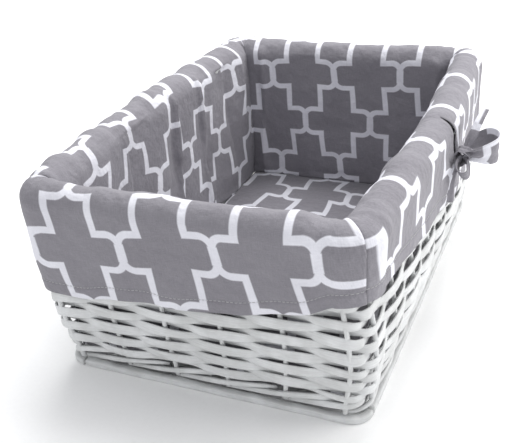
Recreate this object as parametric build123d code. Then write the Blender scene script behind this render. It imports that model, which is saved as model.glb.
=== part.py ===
from build123d import *
import math
import os

# Lined willow basket: a rectangular basket of painted half-willow, and a loose cotton liner
# whose cuff folds down over the rim and is tied with a fabric bow at the middle of each long side.
#
# Frame: millimetres, +Z up, floor at z = 0, origin at the middle of the basket's foot.
# X runs across the short walls, Y along the long walls.
#
# Every rod and strip follows the stake line: the rounded rectangle through the stake centres,
# which grows a little with height, because the walls lean outwards.

# ---------------------------------------------------------------- driving dimensions

FOOT_HALF_X = 117.5        # stake line at the foot, from the middle to a long wall
FOOT_HALF_Y = 181.0        # stake line at the foot, from the middle to a short wall
WALL_FLARE = 5.0           # how much further out the stake line is at the rim
CORNER_RADIUS = 16.0       # of the stake line, at every height
RIM_ROD_Z = 149.5          # centre height of the outer and inner rim rods
GAP = 0.3                  # air between neighbouring pieces

FOOT_ROD_WIDTH = 9.0
FOOT_ROD_HEIGHT = 9.0

BASE_STICK_COUNT = 5
BASE_STICK_DIAMETER = 5.0
BASE_STICK_PITCH = 42.0
BASE_STICK_Z = 6.2
BASE_STRIP_COUNT = 31
BASE_STRIP_WIDTH = 10.0
BASE_STRIP_PITCH = 10.6

STAKE_DIAMETER = 5.0
STAKES_SHORT_WALL = 6
STAKES_LONG_WALL = 9

STRIP_THICKNESS = 2.2
STRIP_HEIGHT = 6.2
STRIP_SWAY = 0.45          # share of a bay that a strip runs on before it swings over
COURSE_PITCH = 6.6
COURSE_COUNT = 20
FIRST_COURSE_Z = 12.0      # underside of the lowest course

RIM_ROD_DIAMETER = 9.0
LASHING_WIDTH = 7.0
LASHING_THICKNESS = 0.8
LASHING_GAP = 0.15

CLOTH = 1.6                # stands for the cotton with its folds and seams
CUFF_CLEARANCE = 1.4       # cloth to rim rods, so that the liner lifts off freely
HEM_Z = 70.0               # lower edge of the cuff
LINER_FLOOR_Z = 12.2       # underside of the liner
SEAM_GAP = 0.1             # floor panel to wall panels

SLIT_START = 4.0           # the slit begins this far outside the rim's stake line
SLIT_EYE_Z = 143.0         # centre of the round opening above the knot
SLIT_EYE_RADIUS = 7.0
SLIT_NECK_HALF_WIDTH = 1.0
SLIT_HEM_HALF_WIDTH = 6.0

KNOT_Z = 122.0
KNOT_RADIUS = 7.0
RIBBON_THICKNESS = 1.6
LOOP_RIBBON_WIDTH = 12.0
LOOP_LENGTH = 19.0
LOOP_END_RADIUS = 7.0
LOOP_ROOT_RADIUS = 3.0
TAIL_RIBBON_WIDTH = 8.0
TAIL_LENGTH = 30.0
TAIL_SET_BACK = 5.0        # the tails leave the knot on the side next to the cuff

# ---------------------------------------------------------------- values worked out from them

STAKE_BOTTOM_Z = FOOT_ROD_HEIGHT + GAP
STRIP_OFFSET = STAKE_DIAMETER / 2 + GAP + STRIP_THICKNESS / 2
RIM_HALF_X = FOOT_HALF_X + WALL_FLARE
RIM_HALF_Y = FOOT_HALF_Y + WALL_FLARE
ROD_OFFSET = STAKE_DIAMETER / 2 + GAP + RIM_ROD_DIAMETER / 2
TOP_ROD_Z = RIM_ROD_Z + math.sqrt((RIM_ROD_DIAMETER + GAP) ** 2 - ROD_OFFSET**2)
STAKE_TOP_Z = TOP_ROD_Z - RIM_ROD_DIAMETER / 2 - GAP
FOOT_INNER_X = FOOT_HALF_X - FOOT_ROD_WIDTH / 2
FOOT_INNER_Y = FOOT_HALF_Y - FOOT_ROD_WIDTH / 2
CUFF_RADIUS = RIM_ROD_DIAMETER / 2 + CUFF_CLEARANCE
CUFF_OFFSET = ROD_OFFSET + CUFF_RADIUS
KNOT_X = RIM_HALF_X + CUFF_OFFSET + CLOTH + GAP + KNOT_RADIUS
RIBBON_START = KNOT_RADIUS + GAP
FAR = 600.0                # longer than the whole object, for cutting shapes
UP = Vector(0, 0, 1)


def half_sizes(z):
    """Half length in X and in Y of the stake line at height z."""
    grow = WALL_FLARE * (z - STAKE_BOTTOM_Z) / (RIM_ROD_Z - STAKE_BOTTOM_Z)
    return FOOT_HALF_X + grow, FOOT_HALF_Y + grow


def rounded_outline(half_x, half_y, offset_out):
    """Rounded rectangle at an offset from a stake line of these half lengths."""
    return RectangleRounded(
        2 * (half_x + offset_out), 2 * (half_y + offset_out), CORNER_RADIUS + offset_out
    )


def half_turn(shape):
    """The same piece on the opposite side of the basket."""
    return Rot(0, 0, 180) * shape


def swing(start, start_heading, end, end_heading):
    """Smooth curve that leaves and arrives along the given headings."""
    span = end - start
    leave = start_heading * (STRIP_SWAY * abs(span.dot(start_heading)))
    arrive = end_heading * (STRIP_SWAY * abs(span.dot(end_heading)))
    return Bezier(start, start + leave, end - arrive, end)


# ---------------------------------------------------------------- foot and base


def foot_rods():
    """Four flattened rods round the foot, each bent round one corner, end to end."""
    outline = rounded_outline(FOOT_HALF_X, FOOT_HALF_Y, FOOT_ROD_WIDTH / 2)
    hole = rounded_outline(FOOT_HALF_X, FOOT_HALF_Y, -FOOT_ROD_WIDTH / 2)
    band = extrude(outline - hole, FOOT_ROD_HEIGHT)
    straight_x = FOOT_HALF_X - CORNER_RADIUS
    straight_y = FOOT_HALF_Y - CORNER_RADIUS
    corner_block = Box(FAR, FAR, FAR, align=(Align.MIN, Align.MAX, Align.CENTER))
    front = band & (Pos(GAP - straight_x, -straight_y, 0) * corner_block)
    corner_block = Box(FAR, FAR, FAR, align=(Align.MIN, Align.MIN, Align.CENTER))
    right = band & (Pos(straight_x, GAP - straight_y, 0) * corner_block)
    return {
        "foot_rod_front": front,
        "foot_rod_right": right,
        "foot_rod_back": half_turn(front),
        "foot_rod_left": half_turn(right),
    }


def base_stick_places():
    """X of each base stick."""
    first = -BASE_STICK_PITCH * (BASE_STICK_COUNT - 1) / 2
    return [first + i * BASE_STICK_PITCH for i in range(BASE_STICK_COUNT)]


def base_sticks():
    """Round sticks that run the length of the base, inside the foot rods."""
    stick = Rot(90, 0, 0) * Cylinder(BASE_STICK_DIAMETER / 2, 2 * (FOOT_INNER_Y - GAP))
    return {
        f"base_stick_{i + 1}": Pos(x, 0, BASE_STICK_Z) * stick
        for i, x in enumerate(base_stick_places())
    }


def base_strip(first_side):
    """Strip across the base, over one stick and under the next; first_side is 1 for over."""
    lift = BASE_STICK_DIAMETER / 2 + GAP + STRIP_THICKNESS / 2
    end_x = FOOT_INNER_X - GAP
    stops = [(-end_x, 0)]
    for i, x in enumerate(base_stick_places()):
        stops.append((x, lift * first_side * (-1) ** i))
    stops.append((end_x, 0))
    heading = Vector(1, 0)
    faces = []
    for shift in (STRIP_THICKNESS / 2, -STRIP_THICKNESS / 2):
        points = [Vector(x, level + shift) for x, level in stops]
        faces.append(points)
    edges = [Line(faces[0][end], faces[1][end]) for end in (0, -1)]
    for points in faces:
        edges += [swing(a, heading, b, heading) for a, b in zip(points, points[1:])]
    return extrude(Plane.XZ * make_face(edges), BASE_STRIP_WIDTH / 2, both=True)


def base_weave():
    """All the strips that close the base, as separate solids."""
    first = -BASE_STRIP_PITCH * (BASE_STRIP_COUNT - 1) / 2
    kinds = [base_strip(1), base_strip(-1)]
    return Compound(
        children=[
            Pos(0, first + i * BASE_STRIP_PITCH, BASE_STICK_Z) * kinds[i % 2]
            for i in range(BASE_STRIP_COUNT)
        ]
    )


# ---------------------------------------------------------------- stakes and weave


def spread(half_length, count):
    """Even places along a straight wall, from corner to corner."""
    reach = half_length - CORNER_RADIUS
    return [-reach + 2 * reach * i / (count - 1) for i in range(count)]


def stake_stops(z):
    """Stakes in order round the basket at height z: (wall name, centre, outward normal)."""
    half_x, half_y = half_sizes(z)
    across = spread(half_x, STAKES_SHORT_WALL)
    along = spread(half_y, STAKES_LONG_WALL)
    stops = [("front", Vector(x, -half_y, z), Vector(0, -1, 0)) for x in across]
    stops += [("right", Vector(half_x, y, z), Vector(1, 0, 0)) for y in along]
    stops += [("back", Vector(-x, half_y, z), Vector(0, 1, 0)) for x in across]
    stops += [("left", Vector(-half_x, -y, z), Vector(-1, 0, 0)) for y in along]
    return stops


def stakes():
    """Upright rods that lean out with the walls, one group per wall."""
    groups = {}
    for low, high in zip(stake_stops(STAKE_BOTTOM_Z), stake_stops(STAKE_TOP_Z)):
        wall, bottom, _ = low
        rise = high[1] - bottom
        foot = Plane(origin=bottom, z_dir=rise) * Circle(STAKE_DIAMETER / 2)
        groups.setdefault(wall, []).append(extrude(foot, rise.length))
    return {f"stakes_{wall}": Compound(children=rods) for wall, rods in groups.items()}


def weaver_course(index):
    """One half-willow strip woven round the basket, outside one stake and inside the next."""
    z = FIRST_COURSE_Z + index * COURSE_PITCH
    stops = stake_stops(z + STRIP_HEIGHT / 2)
    wires = []
    for shift in (STRIP_THICKNESS / 2, -STRIP_THICKNESS / 2):
        route = []
        for i, (_, place, normal) in enumerate(stops):
            side = 1 if (i + index) % 2 == 0 else -1
            route.append((place + normal * (side * STRIP_OFFSET + shift), UP.cross(normal)))
        pairs = zip(route, route[1:] + route[:1])
        wires.append(Wire([swing(*here, *there) for here, there in pairs]))
    band = extrude(Face(wires[0], [wires[1]]), STRIP_HEIGHT, dir=UP)
    return Pos(0, 0, -STRIP_HEIGHT / 2) * band


# ---------------------------------------------------------------- rim


def rim_rod(offset_out, z):
    """Round rod bent into a closed hoop, at an offset from the rim's stake line."""
    path = Pos(0, 0, z) * rounded_outline(RIM_HALF_X, RIM_HALF_Y, offset_out).wire()
    return sweep(Plane(origin=path @ 0, z_dir=path % 0) * Circle(RIM_ROD_DIAMETER / 2), path)


def lashing_loop():
    """Flat strip bound once round the three rim rods; X is outward from the stake line."""
    rods = [(ROD_OFFSET, RIM_ROD_Z), (-ROD_OFFSET, RIM_ROD_Z), (0, TOP_ROD_Z)]
    circles = [Pos(*centre) * Circle(RIM_ROD_DIAMETER / 2 + LASHING_GAP) for centre in rods]
    hole = make_hull([circle.edge() for circle in circles])
    band = offset(hole, LASHING_THICKNESS) - hole
    return extrude(Plane.XZ * band, LASHING_WIDTH / 2, both=True)


def rim_lashing():
    """One loop of lashing in each straight bay between two stakes."""
    loop = lashing_loop()
    loops = []
    stops = stake_stops(RIM_ROD_Z)
    for (wall, here, normal), (next_wall, there, _) in zip(stops, stops[1:]):
        if wall == next_wall:
            middle = (here + there) / 2
            turn = math.degrees(math.atan2(normal.Y, normal.X))
            loops.append(Pos(middle.X, middle.Y, 0) * Rot(0, 0, turn) * loop)
    return Compound(children=loops)


# ---------------------------------------------------------------- liner


def panel_section():
    """Section of a wall panel: up from the floor, over the rim rods and down to the hem.

    Local X is outward from the rim's stake line and local Y is up.
    """
    rise = TOP_ROD_Z - RIM_ROD_Z
    slope = Vector(rise, ROD_OFFSET).normalized()
    slope_reach = slope.dot(Vector(ROD_OFFSET, RIM_ROD_Z)) + CUFF_RADIUS
    ridge_z = slope_reach / slope.Y
    shoulder_z = (slope_reach - slope.X * CUFF_OFFSET) / slope.Y
    inner_face = FilletPolyline(
        (CUFF_OFFSET, HEM_Z),
        (CUFF_OFFSET, shoulder_z),
        (0, ridge_z),
        (-CUFF_OFFSET, shoulder_z),
        (-CUFF_OFFSET, LINER_FLOOR_Z),
        radius=CUFF_RADIUS,
    )
    return make_face(offset(inner_face, CLOTH, side=Side.LEFT))


def liner_shell():
    """The four wall panels in one closed ring, before they are parted at the corner seams."""
    path = rounded_outline(RIM_HALF_X, RIM_HALF_Y, 0).wire()
    heading = path % 0
    section_plane = Plane(origin=path @ 0, x_dir=heading.cross(UP), z_dir=-heading)
    return sweep(section_plane * panel_section(), path)


def corner_wedge(on_long_wall):
    """Tall prism that holds one wall, up to the diagonal planes through its two corners."""
    centre_x = RIM_HALF_X - CORNER_RADIUS
    centre_y = RIM_HALF_Y - CORNER_RADIUS
    if on_long_wall:
        outline = Polygon(
            (centre_x, -centre_y),
            (centre_x + FAR, -centre_y - FAR),
            (centre_x + FAR, centre_y + FAR),
            (centre_x, centre_y),
            align=None,
        )
    else:
        outline = Polygon(
            (-centre_x, -centre_y),
            (-centre_x - FAR, -centre_y - FAR),
            (centre_x + FAR, -centre_y - FAR),
            (centre_x, -centre_y),
            align=None,
        )
    return extrude(outline, FAR)


def slit():
    """Cutting shape for the split in a long cuff: an eye above the knot, then down to the hem."""
    eye = Pos(0, SLIT_EYE_Z) * Circle(SLIT_EYE_RADIUS)
    outline = Polygon(
        (-SLIT_EYE_RADIUS, SLIT_EYE_Z),
        (-SLIT_NECK_HALF_WIDTH, KNOT_Z),
        (-SLIT_HEM_HALF_WIDTH, HEM_Z - GAP),
        (SLIT_HEM_HALF_WIDTH, HEM_Z - GAP),
        (SLIT_NECK_HALF_WIDTH, KNOT_Z),
        (SLIT_EYE_RADIUS, SLIT_EYE_Z),
        align=None,
    )
    return Pos(RIM_HALF_X + SLIT_START, 0, 0) * extrude(Plane.YZ * (eye + outline), FAR)


def liner():
    """Floor and four wall panels with their cuffs."""
    shell = liner_shell()
    front = shell & corner_wedge(False)
    right = (shell & corner_wedge(True)) - slit()
    floor = rounded_outline(RIM_HALF_X, RIM_HALF_Y, -CUFF_OFFSET - CLOTH - SEAM_GAP)
    return {
        "liner_floor": Pos(0, 0, LINER_FLOOR_Z) * extrude(floor, CLOTH),
        "liner_panel_front": front,
        "liner_panel_right": right,
        "liner_panel_back": half_turn(front),
        "liner_panel_left": half_turn(right),
    }


# ---------------------------------------------------------------- bows


def bow_loop():
    """Ribbon folded back on itself, out along +Y from the knot's middle, its width along Z."""
    root_y = RIBBON_START + LOOP_ROOT_RADIUS
    root = Pos(0, root_y) * Circle(LOOP_ROOT_RADIUS)
    end = Pos(0, root_y + LOOP_LENGTH) * Circle(LOOP_END_RADIUS)
    outline = make_hull([root.edge(), end.edge()])
    band = outline - offset(outline, -RIBBON_THICKNESS)
    return extrude(band, LOOP_RIBBON_WIDTH / 2, both=True)


def bow_tail():
    """Flat ribbon end, out along +Y from the knot's middle, its width along Z."""
    strip = Box(RIBBON_THICKNESS, TAIL_LENGTH, TAIL_RIBBON_WIDTH)
    return Pos(-TAIL_SET_BACK, RIBBON_START + TAIL_LENGTH / 2, 0) * strip


def aimed(ribbon, turn_out, tilt):
    """A ribbon turned from +Y towards the outside, by turn_out degrees, and tilted up by tilt."""
    return Rot(0, 0, -turn_out) * Rot(tilt, 0, 0) * ribbon


def bow():
    """Knot, two loops and two tails at the middle of the right cuff."""
    pieces = {
        "knot": Sphere(KNOT_RADIUS),
        "loop_back": aimed(bow_loop(), 33, -23),
        "loop_front": aimed(bow_loop(), 155, -25),
        "tail_up": aimed(bow_tail(), 12, 38),
        "tail_down": aimed(bow_tail(), 0, -105),
    }
    return {piece: Pos(KNOT_X, 0, KNOT_Z) * shape for piece, shape in pieces.items()}


# ---------------------------------------------------------------- output


def all_nodes():
    """Every sub-part by name."""
    nodes = {}
    nodes.update(foot_rods())
    nodes.update(base_sticks())
    nodes["base_weave"] = base_weave()
    nodes.update(stakes())
    for index in range(COURSE_COUNT):
        nodes[f"weaver_course_{index + 1:02d}"] = weaver_course(index)
    nodes["rim_rod_outer"] = rim_rod(ROD_OFFSET, RIM_ROD_Z)
    nodes["rim_rod_inner"] = rim_rod(-ROD_OFFSET, RIM_ROD_Z)
    nodes["rim_rod_top"] = rim_rod(0, TOP_ROD_Z)
    nodes["rim_lashing"] = rim_lashing()
    nodes.update(liner())
    for piece, shape in bow().items():
        nodes[f"bow_right_{piece}"] = shape
        nodes[f"bow_left_{piece}"] = half_turn(shape)
    return nodes


os.makedirs("parts", exist_ok=True)
for name, shape in all_nodes().items():
    export_step(shape, f"parts/{name}.step")
    print(name, round(shape.volume / 1000, 2), "cm3")
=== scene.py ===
import math
import random

import bmesh
import bpy
import numpy as np
from mathutils import Matrix, Vector, noise


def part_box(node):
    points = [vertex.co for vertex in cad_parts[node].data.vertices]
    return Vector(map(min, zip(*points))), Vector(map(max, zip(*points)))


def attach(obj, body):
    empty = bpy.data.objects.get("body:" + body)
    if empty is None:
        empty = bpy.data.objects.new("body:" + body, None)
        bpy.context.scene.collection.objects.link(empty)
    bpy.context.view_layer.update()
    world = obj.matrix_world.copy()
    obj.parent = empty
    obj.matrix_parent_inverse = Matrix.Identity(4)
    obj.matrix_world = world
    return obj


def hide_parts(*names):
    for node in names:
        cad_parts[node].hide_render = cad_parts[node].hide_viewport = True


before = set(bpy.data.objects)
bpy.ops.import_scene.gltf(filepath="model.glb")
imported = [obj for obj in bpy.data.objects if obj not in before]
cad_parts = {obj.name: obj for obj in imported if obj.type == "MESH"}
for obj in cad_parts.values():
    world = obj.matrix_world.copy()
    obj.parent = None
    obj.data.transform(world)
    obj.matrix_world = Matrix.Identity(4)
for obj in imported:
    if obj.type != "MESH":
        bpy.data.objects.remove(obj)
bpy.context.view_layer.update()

MM = 0.001

# ---------------------------------------------------------------- places taken from the frame


def evenly_round(count):
    """Angles evenly spaced round a circle."""
    return np.linspace(0, 2 * math.pi, count + 1)[:-1]


def grain_start(rng):
    """Random place on the wood to start a strip's UV map from."""
    return (rng.uniform(0, 5), rng.uniform(0, 1))


def middle(node):
    """Centre of a CAD node's box."""
    low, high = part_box(node)
    return (low + high) / 2


top_low, top_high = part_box("rim_rod_top")
ROD = top_high.z - top_low.z
RIM_X = top_high.x - ROD / 2
RIM_Y = top_high.y - ROD / 2
RIM_Z = middle("rim_rod_outer").z
TOP_ROD_Z = middle("rim_rod_top").z
ROD_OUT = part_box("rim_rod_outer")[1].x - ROD / 2 - RIM_X
FOOT_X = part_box("foot_rod_right")[1].x - ROD / 2
FOOT_Y = -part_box("foot_rod_front")[0].y - ROD / 2
STAKE_LOW, STAKE_HIGH = (corner.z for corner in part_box("stakes_front"))
COURSES = sorted(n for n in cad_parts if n.startswith("weaver_course_"))
COURSE_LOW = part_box(COURSES[0])[0].z
COURSE_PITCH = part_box(COURSES[1])[0].z - COURSE_LOW
STICKS = sorted(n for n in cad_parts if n.startswith("base_stick_"))
LINER_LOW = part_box("liner_floor")[0].z
CREST_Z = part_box("liner_panel_front")[1].z
KNOT = middle("bow_right_knot")

CORNER = 12 * MM           # radius of the basket's corners
BOW = 7.5 * MM             # how far the long walls bow out at their middle
BOW_FULL_Z = 75 * MM       # the height from which they do so fully
BELLY = 5 * MM             # how far the weave bulges out all round between foot and rim
BELLY_Z = (4 * MM, 58 * MM, 78 * MM, 128 * MM)    # where it starts, is full, falls and ends
SHORT_BAYS = 5
LONG_BAYS = 8
BAYS = 2 * (SHORT_BAYS + LONG_BAYS) + 4
# yaw of each wall, its first bay, its straight bays, and whether it is a long wall
WALLS = (
    (0, 0, SHORT_BAYS, False),
    (90, SHORT_BAYS + 1, LONG_BAYS, True),
    (180, SHORT_BAYS + LONG_BAYS + 2, SHORT_BAYS, False),
    (270, 2 * SHORT_BAYS + LONG_BAYS + 3, LONG_BAYS, True),
)
STAKE = 1.9 * MM           # radius of a stake
STEPS_PER_BAY = 14         # rings of a woven strip from one stake to the next
LEAN_OUT = 7 * MM          # the right-hand wall stands this much further out low down
LEAN_Z = (45 * MM, 132 * MM)    # that fades out between these heights

# ---------------------------------------------------------------- small helpers


def smooth(x, low, high):
    """Smooth step from 0 at low to 1 at high."""
    t = np.clip((np.asarray(x, float) - low) / (high - low), 0, 1)
    return t * t * (3 - 2 * t)


def bell(x, centre, width):
    """1 at centre, falling to nothing over a few widths."""
    return np.exp(-(((np.asarray(x, float) - centre) / width) ** 2))


def swollen(x, power):
    """x with its size raised to a power and its sign kept."""
    return np.sign(x) * np.abs(x) ** power


def wobble(x, period, waves, seed):
    """Repeatable wavy noise with the given period, about -1 to 1."""
    rng = random.Random(seed)
    total = np.zeros_like(np.asarray(x, float))
    for wave in waves:
        phase = rng.uniform(0, 2 * math.pi)
        total += rng.uniform(0.5, 1.0) * np.sin(2 * math.pi * wave * x / period + phase)
    return total / math.sqrt(len(waves))


def turned(points, degrees):
    """Points turned about the Z axis."""
    a = math.radians(degrees)
    turn = np.array([[math.cos(a), math.sin(a), 0], [-math.sin(a), math.cos(a), 0], [0, 0, 1]])
    return np.asarray(points, float) @ turn


def smooth_through(knots, x, blur):
    """Value at x of the curve through (x, value) knots, rounded off over the length blur."""
    xs, values = zip(*knots)
    offsets = np.linspace(-blur, blur, 9)
    return np.mean([np.interp(np.asarray(x) + o, xs, values) for o in offsets], axis=0)


def bowed(share, z):
    """How far a long wall stands out at a place from -1 to 1 along it, at height z."""
    return BOW * smooth(z, 0, BOW_FULL_Z) * (1 - np.clip(np.abs(share), 0, 1) ** 2)


def leaned(points):
    """Points with the lower part of the right-hand wall stood out."""
    points = np.array(points, float)
    low, high = LEAN_Z
    share = smooth(points[..., 0], 0, FOOT_X) * (1 - smooth(points[..., 2], low, high))
    points[..., 0] += LEAN_OUT * share
    return points


def finish_mesh(mesh, uvs, material):
    """Gives a mesh its UV map, smooth shading and material."""
    layer = mesh.uv_layers.new(name="UVMap")
    layer.data.foreach_set("uv", np.array(uvs, np.float32).ravel())
    mesh.polygons.foreach_set("use_smooth", [True] * len(mesh.polygons))
    mesh.materials.append(material)


def add_piece(mesh, body, nodes):
    """Puts a mesh in the scene as a piece that rides on a body and stands for CAD nodes."""
    piece = bpy.data.objects.new(mesh.name, mesh)
    bpy.context.scene.collection.objects.link(piece)
    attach(piece, body)
    if nodes:
        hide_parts(*nodes)
    return piece


def edit(mesh, change):
    """Runs a change on a mesh's bmesh."""
    bm = bmesh.new()
    bm.from_mesh(mesh)
    change(bm)
    bm.to_mesh(mesh)
    bm.free()


def face_outward(bm):
    """Turns every face of a closed mesh to face out."""
    bmesh.ops.recalc_face_normals(bm, faces=bm.faces)


def weld(bm):
    """Joins points that lie on each other."""
    bmesh.ops.remove_doubles(bm, verts=bm.verts, dist=1e-6)


class Builder:
    """Gathers lofted strips into one mesh, with a UV map in metres."""

    def __init__(self):
        self.points = []
        self.faces = []
        self.uvs = []

    def loft(self, rings, closed=False, shift=(0.0, 0.0)):
        """Skin over rings of points. A closed one joins its last ring to its first, an open
        one gets a cap at each end. The UV map starts at shift."""
        rings = np.asarray(rings, float)
        count, size = rings.shape[:2]
        start = len(self.points)
        self.points.extend(map(tuple, rings.reshape(-1, 3)))
        along = np.linalg.norm(np.diff(rings.mean(1), axis=0, append=rings.mean(1)[:1]), axis=1)
        along = np.concatenate([[0], np.cumsum(along)]) + shift[0]
        middle_ring = rings[count // 2]
        around = np.linalg.norm(np.roll(middle_ring, -1, axis=0) - middle_ring, axis=1)
        around = np.concatenate([[0], np.cumsum(around)]) + shift[1]
        for i in range(count if closed else count - 1):
            for j in range(size):
                i2, j2 = (i + 1) % count, (j + 1) % size
                self.faces.append(
                    (start + i * size + j, start + i * size + j2,
                     start + i2 * size + j2, start + i2 * size + j)
                )
                self.uvs.append(
                    ((along[i], around[j]), (along[i], around[j + 1]),
                     (along[i + 1], around[j + 1]), (along[i + 1], around[j]))
                )
        if not closed:
            for ring in (range(size - 1, -1, -1), range((count - 1) * size, count * size)):
                self.faces.append(tuple(start + k for k in ring))
                self.uvs.append(tuple(shift for _ in ring))

    def make(self, name, material, body, nodes=()):
        """The gathered mesh as a piece that rides on a body and stands for the CAD nodes."""
        mesh = bpy.data.meshes.new(name)
        mesh.from_pydata(self.points, [], self.faces)
        finish_mesh(mesh, [uv for face in self.uvs for uv in face], material)
        edit(mesh, face_outward)
        return add_piece(mesh, body, nodes)

    def make_willow(self, node):
        """Makes the gathered mesh the willow piece that stands for a CAD node."""
        self.make(f"{node}_willow", WILLOW, "basket", [node])


def single_strip(node, rings, **loft):
    """Makes one lofted strip or rod the willow piece that stands for a CAD node."""
    builder = Builder()
    builder.loft(rings, **loft)
    builder.make_willow(node)


# ---------------------------------------------------------------- materials


class Nodes:
    """Short way to write a material's node tree."""

    def __init__(self, name):
        self.material = bpy.data.materials.new(name)
        self.material.use_nodes = True
        self.tree = self.material.node_tree

    def add(self, kind, sockets=(), **settings):
        """New node with its settings, and what feeds its sockets, by name or number."""
        node = self.tree.nodes.new(kind)
        for key, value in settings.items():
            setattr(node, key, value)
        for key, value in dict(sockets).items():
            self.feed(node.inputs[key], value)
        return node

    def feed(self, socket, value):
        """Sets a socket to a number or a colour, or links another node's output to it."""
        if isinstance(value, (int, float)):
            socket.default_value = value
        elif isinstance(value, tuple):
            socket.default_value = (*value, 1)
        else:
            self.tree.links.new(value, socket)

    def surface(self, name, value):
        """Feeds one of the material's own inputs."""
        self.feed(self.tree.nodes["Principled BSDF"].inputs[name], value)

    def place(self):
        """Place in the world."""
        return self.add("ShaderNodeNewGeometry").outputs["Position"]

    def uv(self):
        """Place on the UV map, which is in metres."""
        return self.add("ShaderNodeUVMap", uv_map="UVMap").outputs[0]

    def math(self, operation, *inputs, clamp=False):
        """Output of a math node; each input is a number or another node's output."""
        node = self.add("ShaderNodeMath", enumerate(inputs), operation=operation, use_clamp=clamp)
        return node.outputs[0]

    def noise(self, vector, scale, detail=2.0, roughness=0.5, stretch=None):
        """Noise from 0 to 1, stretched along the vector's axes if asked."""
        if stretch is not None:
            mapping = self.add("ShaderNodeMapping", {"Vector": vector})
            mapping.inputs["Scale"].default_value = stretch
            vector = mapping.outputs[0]
        sockets = {"Scale": scale, "Detail": detail, "Roughness": roughness, "Vector": vector}
        return self.add("ShaderNodeTexNoise", sockets).outputs["Fac"]

    def threads(self, vector, direction):
        """Fine bands side by side, for the threads of a plain weave."""
        sockets = {"Scale": 520, "Distortion": 1.5, "Vector": vector}
        node = self.add("ShaderNodeTexWave", sockets, wave_type="BANDS", bands_direction=direction)
        return node.outputs["Fac"]

    def ramp(self, value, *stops):
        """Colour ramp: stops are (position, (r, g, b))."""
        node = self.add("ShaderNodeValToRGB", {0: value})
        elements = node.color_ramp.elements
        while len(elements) < len(stops):
            elements.new(0.5)
        for element, (position, colour) in zip(elements, stops):
            element.position = position
            element.color = (*colour, 1)
        return node.outputs[0]

    def mix(self, factor, first, second, blend="MIX"):
        """Mix of two colours."""
        sockets = {0: factor, 6: first, 7: second}
        return self.add("ShaderNodeMix", sockets, data_type="RGBA", blend_type=blend).outputs[2]

    def bump(self, height, strength, distance, below=None):
        """Fine relief, on top of the relief below it."""
        sockets = {"Strength": strength, "Distance": distance, "Height": height}
        if below is not None:
            sockets["Normal"] = below
        return self.add("ShaderNodeBump", sockets).outputs[0]


def painted_willow():
    """White matt paint over split willow: faint grain along the strip, thin and grubby patches."""
    n = Nodes("painted_willow")
    uv = n.uv()
    place = n.place()
    grain = n.noise(uv, 1.0, 4.0, 0.6, stretch=(60, 1500, 1))
    fibre = n.noise(uv, 1.0, 3.0, 0.6, stretch=(160, 4200, 1))
    patch = n.noise(place, 55.0, 3.0, 0.55)
    speck = n.noise(place, 900.0, 2.0, 0.5)
    paint = n.ramp(grain, (0.25, (0.62, 0.625, 0.63)), (0.55, (0.73, 0.74, 0.745)),
                   (0.8, (0.80, 0.81, 0.815)))
    thin = n.ramp(patch, (0.38, (0.82, 0.82, 0.81)), (0.62, (1.0, 1.0, 1.0)))
    paint = n.mix(0.8, paint, thin, "MULTIPLY")
    bare = n.math("MULTIPLY", n.math("GREATER_THAN", speck, 0.72), 0.35)
    paint = n.mix(bare, paint, (0.55, 0.50, 0.42))
    n.surface("Base Color", paint)
    n.surface("Roughness", n.math("MULTIPLY_ADD", grain, 0.25, 0.45))
    relief = n.bump(grain, 0.35, 0.0004)
    n.surface("Normal", n.bump(fibre, 0.25, 0.0002, relief))
    n.surface("Specular IOR Level", 0.35)
    return n.material


PATTERN_PERIOD = 72 * MM   # one bar to the next in a row; the sizes below are in periods
ROW_SPACING = 0.79         # from a row of bars to the next
BAR_HALF = 0.205           # bar's middle to the horizontal strokes
BEND_RADIUS = 0.125
STEP = 0.25                # bar to the vertical strokes beside it
STROKE_HALF_WIDTH = 0.040
BAR_HALF_WIDTH = 0.050
OVERLAP = 0.02             # the strokes run this far into each other
LINE_BLUR = 0.012


def trellis(n, uv):
    """1 on the white lines of the print and 0 on the ground; uv is in metres on the cloth."""

    def times(x, y):
        return n.math("MULTIPLY", x, y)

    def less(x, y):
        return n.math("SUBTRACT", x, y)

    def apart(x, y):
        return n.math("ABSOLUTE", less(x, y))

    def larger(x, y):
        return n.math("MAXIMUM", x, y)

    split = n.add("ShaderNodeSeparateXYZ", {0: uv})
    across = n.math("DIVIDE", split.outputs[0], PATTERN_PERIOD)
    up = n.math("DIVIDE", split.outputs[1], PATTERN_PERIOD * ROW_SPACING)
    row = n.math("FLOOR", n.math("ADD", up, 0.5))
    b = n.math("ABSOLUTE", times(less(up, row), ROW_SPACING))
    across = n.math("ADD", across, times(row, 0.5))
    a = apart(across, n.math("ROUND", across))    # a across and b up from a bar's middle
    bend_low = BAR_HALF - BEND_RADIUS
    bar = larger(less(a, BAR_HALF_WIDTH), less(b, bend_low + OVERLAP))
    from_x = less(a, BEND_RADIUS)
    from_y = less(b, bend_low)
    far = n.math("SQRT", n.math("ADD", times(from_x, from_x), times(from_y, from_y)))
    bend = less(apart(far, BEND_RADIUS), STROKE_HALF_WIDTH)
    bend = larger(bend, less(larger(from_x, times(from_y, -1)), OVERLAP))
    level = less(larger(apart(b, BAR_HALF), less(a, STEP)), STROKE_HALF_WIDTH)
    level = larger(level, less(BEND_RADIUS - OVERLAP, a))
    upright = less(larger(apart(a, STEP), less(BAR_HALF, b)), STROKE_HALF_WIDTH)
    nearest = n.math("MINIMUM", n.math("MINIMUM", bar, bend), n.math("MINIMUM", level, upright))
    return n.math("MULTIPLY_ADD", nearest, -1 / LINE_BLUR, 0.5, clamp=True)


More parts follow.
